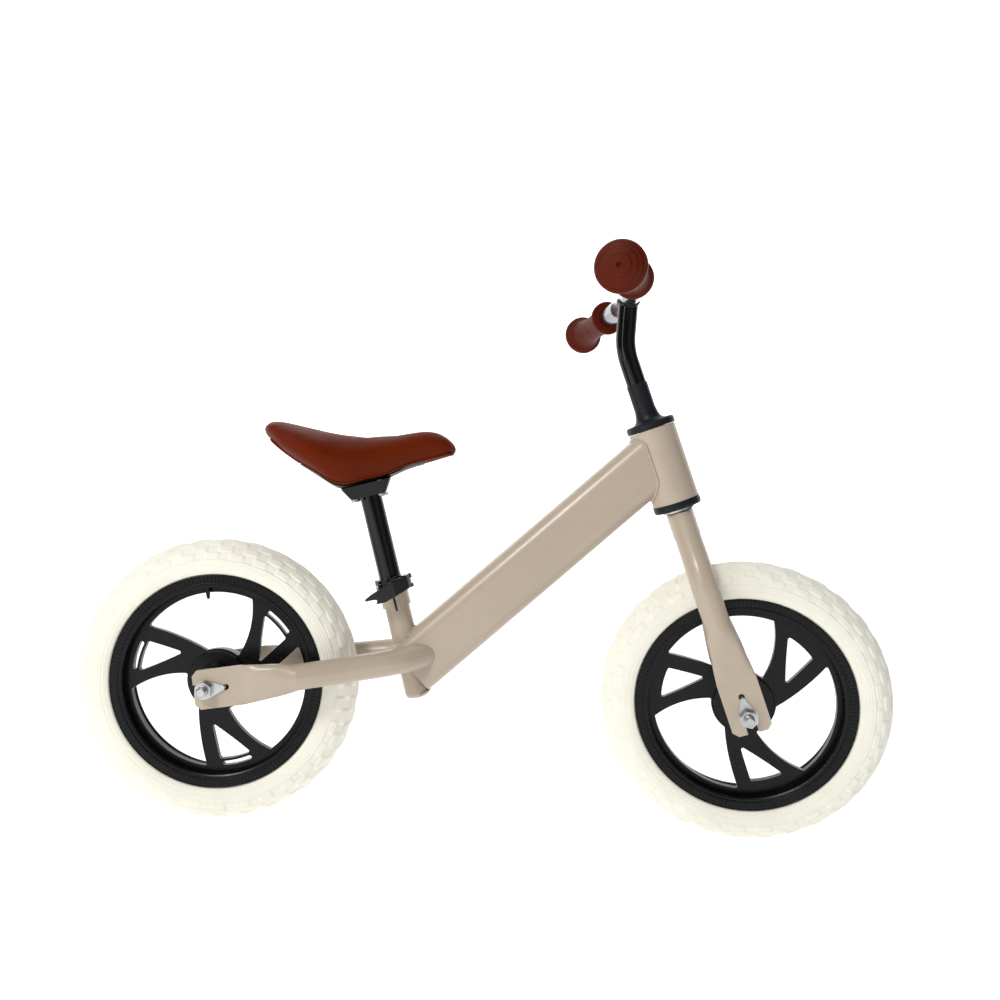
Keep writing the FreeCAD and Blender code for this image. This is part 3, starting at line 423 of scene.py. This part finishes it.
def tyre(end, place, phase):
    seat = [(radius, y, PAST_TREAD) for radius, y in TYRE_SEAT]
    left = spline(TYRE_HALF, SECTION_SAMPLES) + seat
    section = left + [(radius, -y, run) for radius, y, run in reversed(left[1:])]
    steps = BLOCKS_ROUND * STEPS_PER_BLOCK
    points = []
    for radius, y, run in section:
        reach = math.hypot(radius - SECTION_MIDDLE, y)
        for number in range(steps):
            keep = 1 - sunk_depth(run, number / STEPS_PER_BLOCK) / reach
            points.append(on_wheel(SECTION_MIDDLE + (radius - SECTION_MIDDLE) * keep,
                                   360 * number / steps + phase, y * keep))
    made = piece(end + "_tyre_treaded", points, grid_faces(len(section), steps), place,
                 end + "_wheel", "tyre_foam")
    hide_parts(end + "_tyre")


# ---------------------------------------------------------------- rims

RIB_COUNT = 168
RIB_FOOT_Y = 21.3
RIB_TOP_Y = 22.05
# A rib's four edges across the band: radius, half its width in degrees, and whether it is at the top.
RIB_EDGES = [(99.4, 0.42, False), (106.2, 0.40, False), (100.1, 0.26, True), (105.5, 0.25, True)]

BEAD_Y = 21.45
BAND_BEADS = [("inner", 98.9, 0.6), ("outer", 106.7, 0.55)]

NUB_AT = 98
NUB_Y = -14
NUB_SIDES = 10
# The nub's sections from its foot to its tip: radius, half width, half depth.
NUB_SECTIONS = [(95.0, 3.4, 3.0), (92.5, 2.6, 2.4), (86.0, 1.9, 1.8), (83.2, 1.5, 1.4), (82.7, 0.7, 0.7)]


def rim_ribs(end, place):
    """Fine radial ribs round the outer band of both rim faces."""
    points, faces = [], []
    for side in (1, -1):
        for number in range(RIB_COUNT):
            degrees = 360 * number / RIB_COUNT
            first = len(points)
            for radius, half_angle, top in RIB_EDGES:
                y = side * (RIB_TOP_Y if top else RIB_FOOT_Y)
                points.append(on_wheel(radius, degrees - half_angle, y))
                points.append(on_wheel(radius, degrees + half_angle, y))
            a, b, c, d, e, f, g, h = range(first, first + 8)
            faces += [(e, f, h, g), (a, b, f, e), (c, d, h, g), (a, c, g, e), (b, d, h, f)]
    made = piece(end + "_rim_ribs", points, faces, place, end + "_wheel", "wheel_plastic")
    made.data.polygons.foreach_set("use_smooth", [False] * len(made.data.polygons))


def ring_of(radius, y, tube, count=180, sides=8):
    """A thin round bead running round the wheel."""
    points = []
    for number in range(count):
        for angle in round_angles(sides):
            points.append(on_wheel(radius + tube * math.cos(angle), 360 * number / count,
                                   y + tube * math.sin(angle)))
    return points, grid_faces(count, sides)


def rim_beads(end, place):
    """Rounded beads at the two edges of the ribbed band."""
    for name, radius, tube in BAND_BEADS:
        for side, y in (("left", BEAD_Y), ("right", -BEAD_Y)):
            points, faces = ring_of(radius, y, tube)
            piece(f"{end}_rim_bead_{name}_{side}", points, faces, place, end + "_wheel", "wheel_plastic")


def moulding_nub(place):
    """The small tapered peg that the moulding leaves inside the rear rim."""
    points = []
    for radius, half, y_half in NUB_SECTIONS:
        for angle in round_angles(NUB_SIDES):
            sway = math.degrees(half * math.cos(angle) / radius)
            points.append(on_wheel(radius, NUB_AT + sway, NUB_Y + y_half * math.sin(angle)))
    rows = len(NUB_SECTIONS) - 1
    faces = grid_faces(len(NUB_SECTIONS), NUB_SIDES)[:rows * NUB_SIDES]
    faces.append(tuple(rows * NUB_SIDES + side for side in range(NUB_SIDES)))
    piece("rear_rim_nub", points, faces, place, "rear_wheel", "wheel_plastic")


# ---------------------------------------------------------------- weld beads and threads

SEAM_STEP = 0.7
HEAD_WELD = 1.5
SEAT_WELD = 1.4
SEAT_WELD_SPLIT_Z = 190

# Where the stem meets the crossbar, in the bar's own frame, and the two radii that meet there.
STEM_TOP = (20.4, 0, 425)
STEM_RISE = (20.4, 0, 48)
STEM_RADIUS = 10.6
CROSSBAR_RADIUS = 11.3
STEM_WELD = 1.2
STEM_WELD_STEPS = 96

THREAD_TURNS = 4.0
THREAD_PITCH = 1.4
THREAD_STEPS = 28
THREAD_START = 68.5
THREAD_RADIUS = 4.62
THREAD_RIDGE = 0.36


def bead(name, path, radius, body, slot, closed=True, ripple=0.16, pitch=2.3):
    """A rippled weld along a path of points in millimetres, in the bike's frame."""
    sides = 8
    rings = []
    run = 0.0
    count = len(path)
    for number, point in enumerate(path):
        point = Vector(point)
        before = Vector(path[number - 1]) if closed or number else point
        after = Vector(path[(number + 1) % count]) if closed or number < count - 1 else point
        along = (after - before).normalized()
        across = (across - along * across.dot(along)) if rings else along.orthogonal()
        across = across.normalized()
        other = along.cross(across)
        wave = 1 + ripple * math.sin(2 * math.pi * run / pitch)
        rings.append([point + (across * math.cos(angle) + other * math.sin(angle)) * radius * wave
                      for angle in round_angles(sides)])
        run += (after - point).length
    points = [spot for ring in rings for spot in ring]
    faces = grid_faces(count, sides)
    if not closed:
        faces = faces[:(count - 1) * sides]
        faces += [tuple(range(sides)), tuple(range((count - 1) * sides, count * sides))]
    piece(name, points, faces, Matrix.Identity(4), body, slot)


def main_section():
    """Points round the main tube's rounded section as (across, up)."""
    outline = []
    for sign_y, sign_z, begin in [(1, 1, 0), (-1, 1, 90), (-1, -1, 180), (1, -1, 270)]:
        for step in range(CORNER_STEPS + 1):
            angle = math.radians(begin + 90 * step / CORNER_STEPS)
            outline.append((sign_y * (MAIN_HALF_WIDTH - MAIN_CORNER) + MAIN_CORNER * math.cos(angle),
                            sign_z * (MAIN_HALF_DEPTH - MAIN_CORNER) + MAIN_CORNER * math.sin(angle)))
    even = []
    for (y0, z0), (y1, z1) in zip(outline, outline[1:] + outline[:1]):
        parts = max(1, round(math.hypot(y1 - y0, z1 - z0) / SEAM_STEP))
        even += [(y0 + (y1 - y0) * k / parts, z0 + (z1 - z0) * k / parts) for k in range(parts)]
    return even


def main_tube_end(base, direction, radius, nearer):
    """Where lines along the main tube's wall meet a cylinder round base and direction."""
    along = Vector((math.cos(MAIN_TILT), 0, math.sin(MAIN_TILT)))
    normal = Vector((-math.sin(MAIN_TILT), 0, math.cos(MAIN_TILT)))
    path = []
    for across, up in main_section():
        start = normal * (MAIN_OFFSET + up) + Vector((0, across, 0))
        offset = start - base
        slope = along.copy()
        offset -= direction * offset.dot(direction)
        slope -= direction * slope.dot(direction)
        half_b = offset.dot(slope)
        c = offset.length_squared - radius * radius
        room = half_b * half_b - slope.length_squared * c
        if room < 0:
            continue
        root = math.sqrt(room)
        travel = (-half_b - root if nearer else -half_b + root) / slope.length_squared
        path.append(start + along * travel)
    return path


def main_tube_welds():
    """One closed bead at the head tube, and one bead above and one below at the seat tube."""
    hub = Vector((HALF_WHEELBASE, 0, WHEEL_RADIUS))
    head = main_tube_end(hub, leaning_back(HEAD_LEAN), HEAD_TUBE_RADIUS, True)
    bead("weld_main_to_head", head, HEAD_WELD, "frame", "frame_paint")
    seam = main_tube_end(Vector(SEAT_TUBE_FOOT), leaning_back(SEAT_LEAN), SEAT_TUBE_RADIUS, False)
    upper = [point for point in seam if point.z > SEAT_WELD_SPLIT_Z]
    lower = [point for point in seam if point.z <= SEAT_WELD_SPLIT_Z]
    for name, run in (("upper", upper), ("lower", lower)):
        run.sort(key=lambda point: point.y)
        bead("weld_main_to_seat_" + name, run, SEAT_WELD, "frame", "frame_paint", closed=False)


def stem_weld():
    """The bead where the stem's end meets the underside of the crossbar."""
    tip = Vector(STEM_RISE).normalized()
    sideways = Vector((0, 1, 0))
    outward = tip.cross(sideways)
    joint = []
    for angle in round_angles(STEM_WELD_STEPS):
        spot = sideways * (STEM_RADIUS * math.cos(angle)) + outward * (STEM_RADIUS * math.sin(angle))
        reach = math.sqrt(CROSSBAR_RADIUS ** 2 - (STEM_RADIUS * math.sin(angle)) ** 2)
        joint.append(BAR @ ((Vector(STEM_TOP) + spot - tip * reach) * MM) / MM)
    bead("weld_stem_to_bar", joint, STEM_WELD, "fork", "black_gloss")


def thread(name, place, side, body):
    """A helical ridge round an axle's end."""
    path = []
    for step in range(int(THREAD_TURNS * THREAD_STEPS)):
        angle = 360 * step / THREAD_STEPS
        out = side * (THREAD_START + THREAD_PITCH * step / THREAD_STEPS)
        path.append(place @ (Vector(on_wheel(THREAD_RADIUS, angle, out)) * MM) / MM)
    bead(name, path, THREAD_RIDGE, body, "zinc_steel", closed=False, ripple=0)


# ---------------------------------------------------------------- saddle

# The saddle's outline in the bike's frame, from tail to nose: x, the top, the bottom, the half width.
SADDLE = [(-228.5, 402, 395.5, 15), (-218, 406.3, 384.5, 43), (-203, 404, 371.5, 56),
          (-185, 399.5, 360, 62), (-165, 395.4, 348.2, 60), (-148, 393.3, 340.5, 54),
          (-128, 392.8, 345.4, 46), (-105, 395, 352.5, 37), (-85, 398.6, 362.5, 31),
          (-66, 402.8, 369.3, 27), (-50, 400.6, 375, 24), (-39, 393.5, 378.8, 18), (-33.5, 387.8, 382, 8)]
HEM_RADIUS = 1.3
HEM_SPREAD = 0.66
HEM_DROP = 0.87
HEM_STEPS = 14

PAD_SHRINK = 0.993
PAD_VOXEL = 0.0045
PAD_SWELL = 0.0022
UNDERSIDE = -0.35
CLOTH_FRAMES = 20


def apply_modifiers(thing):
    graph = bpy.context.evaluated_depsgraph_get()
    settled = bpy.data.meshes.new_from_object(thing.evaluated_get(graph))
    thing.modifiers.clear()
    thing.data = settled


def soft_saddle():
    """The padded cover, blown up a little over its own shape with the underside held."""
    source = NODES["saddle_pad"]
    pad = bpy.data.objects.new("saddle_cushion", source.data.copy())
    bpy.context.scene.collection.objects.link(pad)
    low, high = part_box("saddle_pad")
    middle = (low + high) / 2
    for vertex in pad.data.vertices:
        vertex.co = middle + (vertex.co - middle) * PAD_SHRINK
    remesh = pad.modifiers.new("even", "REMESH")
    remesh.mode = "VOXEL"
    remesh.voxel_size = PAD_VOXEL
    apply_modifiers(pad)
    rest = [vertex.co.copy() for vertex in pad.data.vertices]
    held = pad.vertex_groups.new(name="held")
    for vertex in pad.data.vertices:
        if vertex.normal.z < UNDERSIDE:
            held.add([vertex.index], 1.0, "REPLACE")
    blow_up(pad)
    limit_swell(pad, rest)
    finish_saddle(pad)


def blow_up(pad):
    cloth = pad.modifiers.new("cloth", "CLOTH")
    settings = cloth.settings
    settings.quality = 6
    settings.use_pressure = True
    settings.uniform_pressure_force = 4.0
    settings.vertex_group_mass = "held"
    settings.effector_weights.gravity = 0
    settings.tension_stiffness = 40
    settings.compression_stiffness = 40
    settings.bending_stiffness = 2
    cloth.point_cache.frame_start = 1
    cloth.point_cache.frame_end = CLOTH_FRAMES
    scene = bpy.context.scene
    for number in range(1, CLOTH_FRAMES + 1):
        scene.frame_set(number)
        bpy.context.view_layer.update()
    apply_modifiers(pad)
    scene.frame_set(1)


def limit_swell(pad, rest):
    """Pull back every point that the cloth pass carried further than the swell allowed."""
    for vertex, start in zip(pad.data.vertices, rest):
        shift = vertex.co - start
        if shift.length > PAD_SWELL:
            vertex.co = start + shift * (PAD_SWELL / shift.length)


def finish_saddle(pad):
    smooth = pad.modifiers.new("smooth", "SMOOTH")
    smooth.factor = 0.5
    smooth.iterations = 3
    finer = pad.modifiers.new("finer", "SUBSURF")
    finer.levels = 1
    finer.render_levels = 1
    apply_modifiers(pad)
    pad.data.materials.clear()
    pad.data.materials.append(FINISHES["saddle_cover"])
    pad.data.polygons.foreach_set("use_smooth", [True] * len(pad.data.polygons))
    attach(pad, "seat")
    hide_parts("saddle_pad")


def saddle_hem():
    """The turned-under edge of the cover, round the underside."""
    left, right = [], []
    for x, top, bottom, half in SADDLE[1:-1]:
        spread = HEM_SPREAD * half
        drop = (top - bottom) * HEM_DROP
        left.append((x, spread, top - drop))
        right.append((x, -spread, top - drop))
    loop = left + right[::-1]
    smooth = []
    count = len(loop)
    for number in range(count):
        a, b, c, d = (loop[(number + k) % count] for k in (-1, 0, 1, 2))
        for step in range(HEM_STEPS):
            smooth.append(curve_point(a, b, c, d, step / HEM_STEPS))
    bead("saddle_hem", smooth, HEM_RADIUS, "seat", "saddle_cover", ripple=0.1, pitch=4.0)


# ---------------------------------------------------------------- everything

# Each wheel's end and place, its tyre's turn in degrees, and the body that holds its axle.
WHEELS = [("front", FORK, 14.3, "fork"), ("rear", REAR, 26.9, "frame")]

add_camera()
add_studio()
add_stage()
FINISHES = make_finishes()
for row in frame["record"]["subparts"]:
    shown = NODES[row["node"]]
    shown.data.materials.clear()
    shown.data.materials.append(FINISHES[row["material_slot"]])
for end, place, phase, axle_body in WHEELS:
    tyre(end, place, phase)
    rim_ribs(end, place)
    rim_beads(end, place)
    for side, word in ((1, "left"), (-1, "right")):
        thread(f"{end}_thread_{word}", place, side, axle_body)
moulding_nub(REAR)
main_tube_welds()
stem_weld()
soft_saddle()
saddle_hem()
